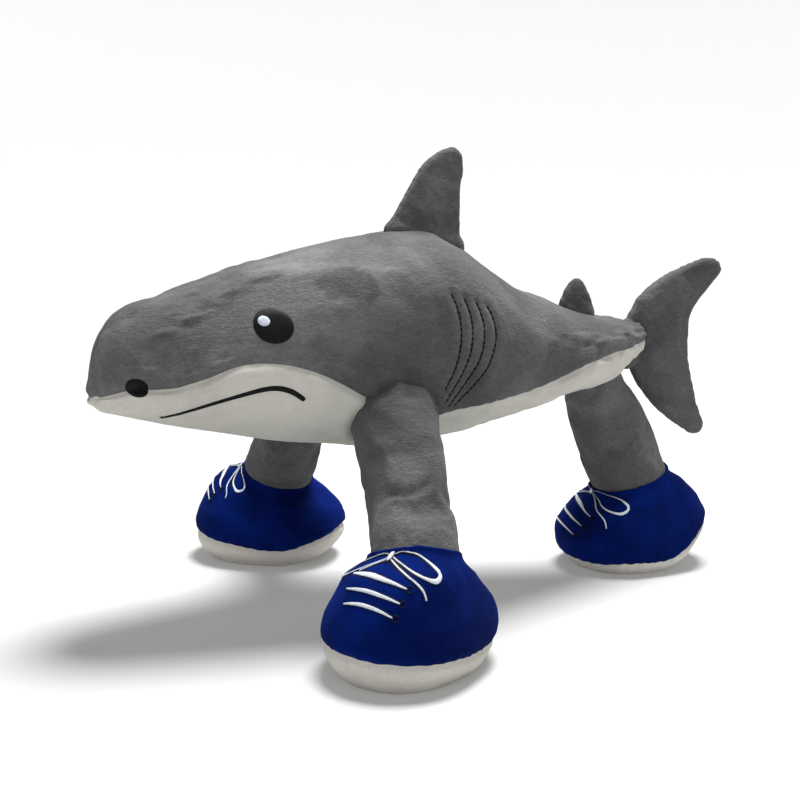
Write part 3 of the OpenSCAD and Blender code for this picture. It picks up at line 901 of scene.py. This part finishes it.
class Shoe:
    """Shape of one shoe, as its radius round an upright axis at each height."""

    def __init__(self, leg):
        self.leg = leg
        ankle = JOINTS[leg + "_ankle"]
        axis = ankle["axis"]
        self.turn = math.atan2(-axis[0], axis[1])
        self.centre = np.array(ankle["pos_m"])
        self.centre[2] = 0
        nodes = frame["nodes"]
        tree = tree_of(nodes[leg + "_shoe_upper"].data, nodes[leg + "_shoe_sole"].data)
        heights = np.arange(0.6, 66, 0.6) * MM
        radius = np.array([[self.reach(tree, a, z) for a in turns] for z in heights])
        known = ~np.isnan(radius)
        self.rim = blurred((known * heights[:, None]).max(axis=0), 12)
        for column, there in zip(radius.T, known.T):
            column[:] = np.interp(heights, heights[there], column[there])
        self.heights = heights
        slimmer = 2.4 * MM * ridge(heights - 36 * MM, 13 * MM)
        self.radius = blurred(radius, 50, 24) - slimmer[:, None]
        leg_radius = [self.reach(leg_trees[leg], a, z) for a, z in zip(turns, self.rim)]
        self.leg_radius = blurred(np.array(leg_radius)[None], 6)[0]

    def direction(self, a):
        return Vector((math.cos(a + self.turn), math.sin(a + self.turn), 0))

    def reach(self, tree, a, z):
        """Distance of a mesh from the shoe's axis in one direction, seen from outside."""
        out = self.direction(a)
        start = Vector(self.centre) + out * OUTSIDE + Vector((0, 0, z))
        hit = tree.ray_cast(start, -out, OUTSIDE)[0]
        return OUTSIDE - (hit - start).length if hit else math.nan

    def at(self, radius, z):
        """Points for a table of radii and heights whose columns are the turns."""
        a = turns + self.turn
        return np.stack(
            [
                self.centre[0] + radius * np.cos(a),
                self.centre[1] + radius * np.sin(a),
                np.broadcast_to(z, radius.shape),
            ],
            axis=-1,
        )

    def ring_radius(self, ring):
        """Distance of a ring of points from the shoe's axis."""
        return np.hypot(ring[:, 0] - self.centre[0], ring[:, 1] - self.centre[1])

    def radius_at(self, z):
        """Radius of the shoe at a table of heights."""
        columns = [
            np.interp(z[:, j], self.heights, self.radius[:, j]) for j in range(SHOE_COLUMNS)
        ]
        return np.stack(columns, axis=1)

    def boundary(self):
        """Height where the upper meets the sole, which rises at the toe and the heel."""
        ring = np.stack([np.cos(turns), np.sin(turns), np.full_like(turns, len(self.leg))], axis=-1)
        toe = (0.5 - 0.5 * np.cos(turns)) ** 3
        heel = np.maximum(np.cos(turns), 0) ** 3
        side, toe_rise, heel_rise, _ = SOLE_SHAPES[self.leg]
        wave = 0.9 * lumps(ring, 0.5, 31) + 0.4 * lumps(ring, 0.16, 32)
        return (side + toe_rise * toe + heel_rise * heel + wave) * MM

    def lifted(self, grid):
        """The grid with the underside of its heel raised off the floor."""
        off = grid[..., :2] - self.centre[:2]
        back = off @ np.array((math.cos(self.turn), math.sin(self.turn)))
        rise = SOLE_SHAPES[self.leg][3] * MM * ramp(back, 0, 38 * MM) ** 1.5
        grid[..., 2] += rise * np.clip(1 - grid[..., 2] / (45 * MM), 0, 1)
        return grid

    def soft(self, grid, seam):
        """The grid with dents, and with a crease along the edge of the sole."""
        normals = grid_normals(grid)
        height = 0.8 * MM * lumps(grid, 20 * MM, 33) + 0.3 * MM * lumps(grid, 8 * MM, 34)
        height += 0.08 * MM * lumps(grid, 2.2 * MM, 35)
        away = grid[..., 2] - seam
        height -= 1.3 * MM * ridge(away, 1.5 * MM)
        height += 0.4 * MM * ridge(np.abs(away) - 5 * MM, 3 * MM)
        ripple = np.sin(turns * 34 + 4 * lumps(grid, 15 * MM, 36))
        height += 0.22 * MM * ripple * ridge(away, 4 * MM)
        return grid + normals * height[..., None]

    def upper(self, rows=56):
        """Grid from the sole's edge up to the collar, which hugs the leg and folds in."""
        seam = self.boundary()
        t = np.linspace(0, 1, rows)[:, None]
        z = seam + (self.rim - seam) * t
        radius = self.radius_at(z)
        hug = ramp(z, self.rim - 9 * MM, self.rim)
        radius += (np.minimum(self.leg_radius + 1.3 * MM - radius, 0)) * hug
        grid = self.soft(self.at(radius, z), seam)
        top = self.ring_radius(grid[-1])
        fold = [(-0.5, 0.5), (-1.2, 0.3), (-2.0, -1.2), (-2.6, -3.5)]
        edge = [self.at(top + out * MM, grid[-1, :, 2] + up * MM) for out, up in fold]
        return self.lifted(np.concatenate([grid, np.array(edge)]))

    def sole(self, rows=20):
        """Grid from the middle of the underside out and up to the sole's edge."""
        seam = self.boundary()
        t = np.linspace(0, 1, rows)[:, None]
        z = 0.6 * MM + (seam - 0.6 * MM) * t
        grid = self.soft(self.at(self.radius_at(z), z), seam)
        inner = np.linspace(0.03, 0.97, 14)[:, None] * self.ring_radius(grid[0])
        flat = self.at(inner, np.full(inner.shape, 0.25 * MM))
        return self.lifted(np.concatenate([flat, grid]))


def closed_piece(name, grid, point=None):
    """A grid closed round its columns, and to a point at its first row if one is given."""
    rows, columns = grid.shape[:2]
    vertices = grid.reshape(-1, 3)
    faces = grid_faces(rows, columns, True).tolist()
    if point is not None:
        vertices = np.concatenate([vertices, [point]])
        faces += [(rows * columns, j, (j + 1) % columns) for j in range(columns)]
    return add_object(name, vertices, faces, grid.reshape(-1, 3).mean(axis=0))


def blend_to_leg(piece):
    """Bakes the piece's placing into its mesh."""
    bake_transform(piece)


shoes = {leg: Shoe(leg) for leg in LEGS}
shoe_trees = {}
for leg, shoe in shoes.items():
    upper = closed_piece(leg + "_shoe_skin", shoe.upper())
    sole = closed_piece(leg + "_sole_skin", shoe.sole(), shoe.centre + (0, 0, 0.25 * MM))
    shoe_trees[leg] = tree_of(upper.data)
    show(upper, leg + "_shoe_upper", leg + "_shoe_stuffing", fill=0.9)
    ride(sole, leg + "_shoe_sole", fill=0.9)
    blend_to_leg(upper)


# ---- Embroidery ----


def ray_point(tree, start, along):
    """Where a ray meets a mesh, and the mesh's normal there on the ray's own side."""
    hit, normal, _, _ = tree.ray_cast(start, along)
    return np.array(hit), -np.array(normal) * np.sign(normal.dot(along))


def body_cloth(side):
    """Projects side-view places onto one side of the body: point and normal."""

    def project(place):
        start = Vector((place[0], SIDES[side] * 0.2, place[1]))
        return ray_point(body_tree, start, Vector((0, -SIDES[side], 0)))

    return project


# A shoe's radius and collar height, as far as the lacing's places are concerned
LACED_RADIUS = 32 * MM
LACED_TOP = 49 * MM


def shoe_cloth(leg):
    """Projects (distance round from the toe line, height) onto a shoe."""
    shoe = shoes[leg]

    def project(place):
        a = math.pi + place[0] / LACED_RADIUS
        rim = np.interp(a % (2 * math.pi), turns, shoe.rim, period=2 * math.pi)
        share = (place[1] - SOLE_TOP) / (LACED_TOP - SOLE_TOP)
        out = shoe.direction(a)
        start = Vector(shoe.centre) + out * OUTSIDE
        start.z = SOLE_TOP + share * (rim - SOLE_TOP)
        return ray_point(shoe_trees[leg], start, -out)

    return project


def thread_piece(name, parts):
    """One object from grids of points, each with its own UV in metres."""
    vertices, faces, uvs = [], [], []
    for grid, uv, up, closed in parts:
        looks = np.cross(grid[1, 0] - grid[0, 0], grid[0, 1] - grid[0, 0]) @ up
        if looks < 0:
            grid, uv = grid[:, ::-1], uv[:, ::-1]
        base = sum(len(v) for v in vertices)
        rows, columns = grid.shape[:2]
        vertices.append(grid.reshape(-1, 3))
        uvs.append(uv.reshape(-1, 2))
        faces.extend((grid_faces(rows, columns, closed) + base).tolist())
    obj = add_object(name, np.concatenate(vertices), faces)
    layer = obj.data.uv_layers.new(name="rows")
    loops = np.empty(len(obj.data.loops), np.int32)
    obj.data.loops.foreach_get("vertex_index", loops)
    layer.data.foreach_set("uv", np.concatenate(uvs)[loops].ravel())
    return obj


def stroke(path, project, low, high, across=9):
    """A rounded stroke of thread along a path of (place, place, width)."""
    path = np.asarray(path)
    step = unit(np.gradient(path[:, :2], axis=0))
    side = np.stack([-step[:, 1], step[:, 0]], axis=-1)
    run = np.insert(np.cumsum(np.linalg.norm(np.diff(path[:, :2], axis=0), axis=1)), 0, 0)
    profile = np.linspace(-1, 1, across)
    ends = np.minimum(run, run[-1] - run)
    grid, uv = [], []
    for k, spot in enumerate(path):
        half = spot[2] / 2
        round_end = math.sqrt(max(0.02, 1 - max(0, 1 - ends[k] / half) ** 2))
        row = []
        for p in profile:
            point, normal = project(spot[:2] + side[k] * half * round_end * p)
            lift = low + (high - low) * round_end * math.sqrt(max(0, 1 - p**2))
            row.append(point + normal * lift)
        grid.append(row)
        uv.append([(run[k], half * p) for p in profile])
    return np.array(grid), np.array(uv), normal, False


def oval(centre, size, tilt, project, low, high, rings=12, columns=48):
    """A filled oval of thread, domed in the middle."""
    t = math.radians(tilt)
    spin = np.array([(math.cos(t), math.sin(t)), (-math.sin(t), math.cos(t))])
    grid, uv = [], []
    for share in np.sin(np.linspace(0.02, 1, rings) * math.pi / 2):
        row, flat = [], []
        for a in np.linspace(0, 2 * math.pi, columns, endpoint=False):
            local = np.array((math.cos(a), math.sin(a))) * share * np.array(size)
            point, normal = project(centre + local @ spin)
            row.append(point + normal * (low + (high - low) * math.sqrt(1 - share**4)))
            flat.append(local)
        grid.append(row)
        uv.append(flat)
    return np.array(grid), np.array(uv), normal, True


# How deep the edges of the thread lie in the cloth
THREAD_FOOT = -0.3 * MM
NOSTRIL_TILT = -25
# Gill stitches: their length, the distance from one to the next, and their width
DASH = 2.3 * MM
DASH_STEP = 2.6 * MM
DASH_WIDTH = 1.25 * MM


def node_oval(node, project, low, high, tilt=0):
    """A filled oval at the place and size of a CAD node on the side view."""
    a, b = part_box(node)
    centre = np.array(((a.x + b.x) / 2, (a.z + b.z) / 2))
    size = np.array(((b.x - a.x) / 2, (b.z - a.z) / 2))
    return oval(centre, size, tilt, project, low, high)


def gill_stitches(gill, cloth):
    """The dashes along one gill line, over a thin thread that joins them."""
    path = gill_path(gill, 400)
    joining = path[4:-4:6]
    under = np.column_stack([joining, np.full(len(joining), 0.7 * MM)])
    parts = [stroke(under, cloth, THREAD_FOOT, 0.2 * MM, 5)]
    run = np.insert(np.cumsum(np.linalg.norm(np.diff(path, axis=0), axis=1)), 0, 0)
    for start in np.arange(0.3 * MM, run[-1] - DASH, DASH_STEP):
        at = np.linspace(start, start + DASH, 8)
        dash = [np.interp(at, run, axis) for axis in path.T] + [np.full(8, DASH_WIDTH)]
        parts.append(stroke(np.stack(dash, axis=1), cloth, THREAD_FOOT, 0.45 * MM, 7))
    return parts


for side in SIDES:
    cloth = body_cloth(side)
    eye = thread_piece(
        f"eye_{side}_satin", [node_oval("eye_" + side, cloth, THREAD_FOOT, 0.9 * MM)]
    )
    glint = thread_piece(
        f"eye_glint_{side}_satin",
        [node_oval("eye_glint_" + side, cloth, 0.7 * MM, 1.45 * MM)],
    )
    nostril = thread_piece(
        f"nostril_{side}_satin",
        [node_oval("nostril_" + side, cloth, THREAD_FOOT, 0.8 * MM, NOSTRIL_TILT)],
    )
    ride(eye, "eye_" + side)
    ride(glint, "eye_glint_" + side)
    ride(nostril, "nostril_" + side)
    stitches = [part for gill in GILLS for part in gill_stitches(gill, cloth)]
    ride(thread_piece(f"gill_{side}_thread", stitches), "gill_stitches_" + side)

mouth = [stroke(mouth_line(), body_cloth(side), THREAD_FOOT, 0.7 * MM) for side in SIDES]
ride(thread_piece("mouth_satin", mouth), "mouth_embroidery")

# Lacing on a shoe's front, in millimetres: distance round from the toe line,
# height and, for a stroke, width. Bars: half length, height and drop to the ends
LACE_BARS = [(13.6, 42.2, 1.6), (11.6, 37.8, 1.7), (9.6, 33.4, 1.9)]
BAR_SLOPE = 0.13
LOOP = [
    (1.2, 47.2, 0.35),
    (7, 47.9, 0.4),
    (16, 47.0, 0.5),
    (24, 45.0, 1.0),
    (28.2, 42.2, 2.1),
    (25.6, 40.2, 2.0),
    (20, 41.4, 1.0),
    (11, 44.4, 0.45),
    (1.5, 46.6, 0.4),
]
LACE_END = [(1.4, 46.0, 0.4), (8, 44.2, 0.5), (14.5, 41.6, 0.7), (19, 38.2, 1.0), (20.6, 34.6, 0.8)]
KNOT = ((0, 46.9), (1.6, 1.35))
OUTLINE = 1.1
# Each shoe's lacing: its shift round the shoe from the toe line in millimetres,
# its size across and down, and the thickness of its strokes
LACINGS = {
    "front_left": (0.5, 1, 1, 0.85),
    "front_right": (7, 0.9, 0.85, 0.65),
    "rear": (-6, 1.3, 1.45, 0.55),
}


def lace_paths():
    paths = [
        [
            (half * s, top - drop * s * s - BAR_SLOPE * half * s, 1.5 - 1.0 * s * s)
            for s in np.linspace(-1, 1, 7)
        ]
        for half, top, drop in LACE_BARS
    ]
    left_loop = [(-s, h, 0.7 * w) for s, h, w in LOOP]
    left_end = [(-0.8 * s, h + 0.12 * s, 0.8 * w) for s, h, w in LACE_END[:3]]
    return paths + [LOOP, LACE_END, left_loop, left_end]


def eyelets():
    """Rings at the right ends of the bars: (distance round, height)."""
    return [
        (half + 0.9, top - drop - BAR_SLOPE * half - 0.2) for half, top, drop in LACE_BARS
    ]


def laced(cloth, shift, across, down):
    """A shoe's cloth with the lacing's own shift and size."""
    top = KNOT[0][1] * MM

    def project(place):
        return cloth((shift * MM + across * place[0], top + down * (place[1] - top)))

    return project


def ring_path(centre, radius, width, count=17):
    a = np.linspace(0, 2 * math.pi, count)
    ring = [centre[0] + radius * np.cos(a), centre[1] + radius * np.sin(a), np.full(count, width)]
    return np.stack(ring, axis=1)


for leg in LEGS:
    shift, across, down, thick = LACINGS[leg]
    cloth = laced(shoe_cloth(leg), shift, across, down)
    white, black = [], []
    for path in lace_paths():
        line = path_points(np.array(path) * (1, 1, thick) * MM, 60)
        wide = line + (0, 0, OUTLINE * thick * MM)
        white.append(stroke(line, cloth, 0.2 * MM, 0.65 * MM, 7))
        black.append(stroke(wide, cloth, THREAD_FOOT, 0.4 * MM, 7))
    for centre in eyelets():
        ring = ring_path(np.array(centre) * MM, 1.0 * MM, 0.5 * MM)
        black.append(stroke(ring, cloth, THREAD_FOOT, 0.55 * MM, 7))
    centre, size = (np.array(v) * MM for v in KNOT)
    white.append(oval(centre, size, 0, cloth, 0.4 * MM, 1.3 * MM, 6, 24))
    black.append(oval(centre, size + OUTLINE * MM / 2, 0, cloth, THREAD_FOOT, 0.9 * MM, 6, 24))
    for name, parts, node in (("lace_satin", white, "_lace"), ("lace_edge", black, "_lace_outline")):
        piece = thread_piece(leg + "_" + name, parts)
        show(piece, leg + node)
        blend_to_leg(piece)


# ---- Stage ----


def paper(name, value, near_glow, far_glow):
    """Paper that glows a little, more towards the walls."""
    material, shader, add = new_material(name)
    shader.inputs["Base Color"].default_value = grey(value)
    shader.inputs["Emission Color"].default_value = grey(1)
    where = add("ShaderNodeTexCoord").outputs["Object"]
    away = add("ShaderNodeVectorMath", {0: where}, operation="LENGTH").outputs["Value"]
    glow = ranged(add, away, 0.4, 1.2, near_glow, far_glow)
    material.node_tree.links.new(glow, shader.inputs["Emission Strength"])
    shader.inputs["Roughness"].default_value = 0.9
    return material


def area_light(name, place, target, size, power):
    data = bpy.data.lights.new(name, "AREA")
    data.shape = "DISK"
    data.size = size
    data.energy = power
    light = bpy.data.objects.new(name, data)
    light.location = place
    light.rotation_euler = (Vector(target) - Vector(place)).to_track_quat("-Z", "Y").to_euler()
    bpy.context.scene.collection.objects.link(light)


def studio_floor(flat=1.1, bend=0.5, wall=1.0, columns=96):
    """A round floor that curves up into a wall all round."""
    profile = [(0.02, 0), (0.3, 0), (0.7, 0)]
    for a in np.linspace(0, math.pi / 2, 13):
        profile.append((flat + bend * math.sin(a), bend - bend * math.cos(a)))
    profile.append((flat + bend, wall))
    t = np.linspace(0, 2 * math.pi, columns, endpoint=False)
    rings = [np.stack([r * np.cos(t), r * np.sin(t), 0 * t + z], axis=1) for r, z in profile]
    centre = columns * len(rings)
    faces = grid_faces(len(rings), columns, True).tolist()
    faces += [(centre, j, (j + 1) % columns) for j in range(columns)]
    return add_object("floor", np.concatenate([*rings, [(0, 0, 0)]]), faces)


floor = studio_floor()
floor.data.materials.append(paper("pale_floor", 0.5, 0.11, 0.46))

world = bpy.data.worlds.new("studio")
bpy.context.scene.world = world
world.use_nodes = True
world.node_tree.nodes["Background"].inputs["Color"].default_value = grey(1.0)
world.node_tree.nodes["Background"].inputs["Strength"].default_value = 0.1

BODY_MIDDLE = (0, 0, 0.1)
area_light("top", (0.2, 0.15, 1.15), BODY_MIDDLE, 0.55, 31)
area_light("key", (-0.5, -0.9, 0.9), BODY_MIDDLE, 0.8, 1.2)

camera = bpy.data.cameras.new("camera")
camera.lens = 55.4
camera.sensor_width = 36
camera.clip_start = 0.01
eye_point = Vector((-0.27734, -0.56152, 0.19918))
target = Vector((-0.00242, 0.04398, 0.09314))
shot = bpy.data.objects.new("camera", camera)
shot.location = eye_point
shot.rotation_mode = "QUATERNION"
shot.rotation_quaternion = (target - eye_point).to_track_quat("-Z", "Y")
bpy.context.scene.collection.objects.link(shot)
bpy.context.scene.camera = shot
bpy.context.scene.view_settings.view_transform = "Standard"
